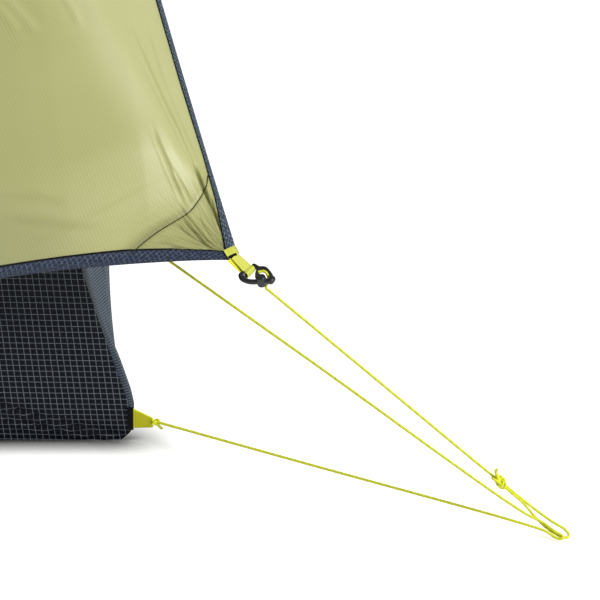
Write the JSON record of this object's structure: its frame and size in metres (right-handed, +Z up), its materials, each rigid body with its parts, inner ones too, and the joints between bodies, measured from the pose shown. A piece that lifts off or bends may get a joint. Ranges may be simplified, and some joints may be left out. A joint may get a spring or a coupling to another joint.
{
  "type": "backpacking tent",
  "caption": "Pitched two-person backpacking tent: ridge and hub pole set, mesh inner tent with bathtub floor, zipped fly with corner line locks and foot-end guylines.",
  "frame": {"origin": "on the ground under the middle of the floor", "axes": "+X to the foot end, +Y to the far side, +Z up"},
  "size_m": [2.5337, 2.3218, 1.0111],
  "materials": {
    "canopy_foot_far": "fine mesh",
    "canopy_foot_near": "fine mesh",
    "canopy_head": "fine mesh",
    "canopy_shoulder_far": "fine mesh",
    "canopy_shoulder_near": "fine mesh",
    "corner_line_far": "braided cord",
    "corner_line_near": "braided cord",
    "floor": "grid ripstop, coated",
    "fly_corner_patch_far": "light ripstop, coated",
    "fly_corner_patch_near": "light ripstop, coated",
    "fly_corner_strap_far": "woven webbing",
    "fly_corner_strap_near": "woven webbing",
    "fly_door_far": "light ripstop, coated",
    "fly_door_near": "light ripstop, coated",
    "fly_foot_binding_far": "ripstop binding",
    "fly_foot_binding_near": "ripstop binding",
    "fly_head": "light ripstop, coated",
    "fly_hem_far": "ripstop binding",
    "fly_hem_near": "ripstop binding",
    "fly_shoulder_far": "light ripstop, coated",
    "fly_shoulder_near": "light ripstop, coated",
    "fly_side_far": "light ripstop, coated",
    "fly_side_near": "light ripstop, coated",
    "fly_zip_slider_far": "moulded",
    "fly_zip_slider_near": "moulded",
    "foot_corner_tab_far": "woven webbing",
    "foot_corner_tab_near": "woven webbing",
    "foot_end_wall": "light ripstop",
    "foot_pole_tab": "woven webbing",
    "foot_pole_tip": "moulded",
    "head_corner_tab_far": "woven webbing",
    "head_corner_tab_near": "woven webbing",
    "head_end_wall": "light ripstop",
    "inner_door_far": "fine mesh",
    "inner_door_near": "fine mesh",
    "inner_zip_slider_far": "moulded",
    "inner_zip_slider_near": "moulded",
    "leg_clip_far": "moulded",
    "leg_clip_near": "moulded",
    "leg_elastic_cord": "covered elastic",
    "leg_pole_tip_far": "moulded",
    "leg_pole_tip_near": "moulded",
    "leg_section_far_1": "anodised tube",
    "leg_section_far_2": "anodised tube",
    "leg_section_near_1": "anodised tube",
    "leg_section_near_2": "anodised tube",
    "line_lock_far": "moulded",
    "line_lock_near": "moulded",
    "pole_hub": "moulded",
    "side_wall_far": "grid ripstop, coated",
    "side_wall_near": "grid ripstop, coated",
    "spine_clip_1": "moulded",
    "spine_clip_2": "moulded",
    "spine_elastic_cord": "covered elastic",
    "spine_section_1": "anodised tube",
    "spine_section_2": "anodised tube",
    "spine_section_3": "anodised tube",
    "spine_section_4": "anodised tube",
    "wall_line_far": "braided cord",
    "wall_line_near": "braided cord"
  },
  "bodies": {
    "tent": {"canopy_foot_far": "canopy_foot_far", "canopy_foot_near": "canopy_foot_near", "canopy_head": "canopy_head", "canopy_shoulder_far": "canopy_shoulder_far", "canopy_shoulder_near": "canopy_shoulder_near", "corner_line_far": "corner_line_far", "corner_line_near": "corner_line_near", "floor": "floor", "fly_corner_patch_far": "fly_corner_patch_far", "fly_corner_patch_near": "fly_corner_patch_near", "fly_corner_strap_far": "fly_corner_strap_far", "fly_corner_strap_near": "fly_corner_strap_near", "fly_foot_binding_far": "fly_foot_binding_far", "fly_foot_binding_near": "fly_foot_binding_near", "fly_head": "fly_head", "fly_hem_far": "fly_hem_far", "fly_hem_near": "fly_hem_near", "fly_shoulder_far": "fly_shoulder_far", "fly_shoulder_near": "fly_shoulder_near", "fly_side_far": "fly_side_far", "fly_side_near": "fly_side_near", "foot_corner_tab_far": "foot_corner_tab_far", "foot_corner_tab_near": "foot_corner_tab_near", "foot_end_wall": "foot_end_wall", "foot_pole_tab": "foot_pole_tab", "foot_pole_tip": "foot_pole_tip", "head_corner_tab_far": "head_corner_tab_far", "head_corner_tab_near": "head_corner_tab_near", "head_end_wall": "head_end_wall", "inner_door_far": "inner_door_far", "inner_door_near": "inner_door_near", "leg_clip_far": "leg_clip_far", "leg_clip_near": "leg_clip_near", "leg_elastic_cord": "leg_elastic_cord", "leg_pole_tip_far": "leg_pole_tip_far", "leg_pole_tip_near": "leg_pole_tip_near", "leg_section_far_1": "leg_section_far_1", "leg_section_far_2": "leg_section_far_2", "leg_section_near_1": "leg_section_near_1", "leg_section_near_2": "leg_section_near_2", "line_lock_far": "line_lock_far", "line_lock_near": "line_lock_near", "pole_hub": "pole_hub", "side_wall_far": "side_wall_far", "side_wall_near": "side_wall_near", "spine_clip_1": "spine_clip_1", "spine_clip_2": "spine_clip_2", "spine_elastic_cord": "spine_elastic_cord", "spine_section_1": "spine_section_1", "spine_section_2": "spine_section_2", "spine_section_3": "spine_section_3", "spine_section_4": "spine_section_4", "wall_line_far": "wall_line_far", "wall_line_near": "wall_line_near"},
    "fly_door_near_body": {"fly_door_near": "fly_door_near"},
    "fly_slider_near_body": {"fly_zip_slider_near": "fly_zip_slider_near"},
    "inner_slider_near_body": {"inner_zip_slider_near": "inner_zip_slider_near"},
    "fly_door_far_body": {"fly_door_far": "fly_door_far"},
    "fly_slider_far_body": {"fly_zip_slider_far": "fly_zip_slider_far"},
    "inner_slider_far_body": {"inner_zip_slider_far": "inner_zip_slider_far"}
  },
  "joints": [
    {"name": "fly_door_near_turn", "type": "hinge", "parent": "tent", "child": "fly_door_near_body", "pos_m": [-0.42358, -0.96675, 0.03115], "axis": [-0.0894, -0.6993, -0.7092], "range_deg": [0, 150]},
    {"name": "fly_door_far_turn", "type": "hinge", "parent": "tent", "child": "fly_door_far_body", "pos_m": [-0.42358, 0.96675, 0.03115], "axis": [0.0894, -0.6993, 0.7092], "range_deg": [0, 150]},
    {"name": "fly_zip_slider_near_slide", "type": "slide", "parent": "tent", "child": "fly_slider_near_body", "axis": [-0.1819, 0.7542, 0.6309], "range_m": [0, 1.4]},
    {"name": "fly_zip_slider_far_slide", "type": "slide", "parent": "tent", "child": "fly_slider_far_body", "axis": [-0.1819, -0.7542, 0.6309], "range_m": [0, 1.4]},
    {"name": "inner_zip_slider_near_slide", "type": "slide", "parent": "tent", "child": "inner_slider_near_body", "axis": [-0.1575, 0.581, 0.7986], "range_m": [0, 0.85]},
    {"name": "inner_zip_slider_far_slide", "type": "slide", "parent": "tent", "child": "inner_slider_far_body", "axis": [-0.1575, -0.581, 0.7986], "range_m": [0, 0.85]}
  ]
}
